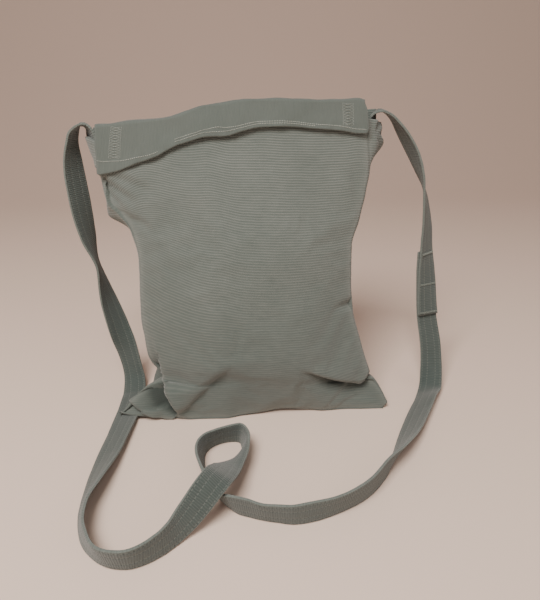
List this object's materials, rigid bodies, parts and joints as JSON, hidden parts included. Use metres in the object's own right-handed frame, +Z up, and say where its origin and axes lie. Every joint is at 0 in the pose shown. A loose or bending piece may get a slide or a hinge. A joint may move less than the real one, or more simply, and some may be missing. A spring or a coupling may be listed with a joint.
{
  "type": "shoulder pouch bag",
  "caption": "Soft canvas shoulder pouch with side gussets, a shallow hook-and-loop top flap and a long flat strap lying in loops.",
  "frame": {"origin": "middle of the flat bottom gusset, where the pouch stands", "axes": "+Z up, -Y is the front with the flap's free edge, +X along the width to the right as seen from the front"},
  "size_m": [0.4381, 0.3243, 0.3412],
  "materials": {
    "canvas": "grey-green ribbed cotton canvas, matt",
    "strap_canvas": "darker ribbed canvas, folded double and stitched lengthwise",
    "closing_tape": "woven hook or loop tape",
    "thread": "pale sewing thread"
  },
  "bodies": {
    "pouch": {"front_panel": "canvas", "back_panel": "canvas", "left_gusset": "canvas", "right_gusset": "canvas", "bottom_gusset": "canvas", "front_mouth_hem": "canvas", "left_gusset_hem": "canvas", "right_gusset_hem": "canvas", "front_loop_tape_left": "closing_tape", "front_loop_tape_right": "closing_tape", "strap_long": "strap_canvas", "strap_short": "strap_canvas", "splice_stitching_low": "thread", "splice_stitching_middle": "thread", "splice_stitching_top": "thread", "strap_stitching_left": "thread", "strap_stitching_right": "thread"},
    "flap": {"flap": "canvas", "flap_hem": "canvas", "flap_hook_tape_left": "closing_tape", "flap_hook_tape_right": "closing_tape", "flap_stitching_left": "thread", "flap_stitching_right": "thread"}
  },
  "joints": [
    {"name": "flap_hinge", "type": "hinge", "parent": "pouch", "child": "flap", "pos_m": [-0.01989, 0.0536, 0.31998], "axis": [-0.9983, 0, -0.0578], "range_deg": [0, 180]}
  ]
}
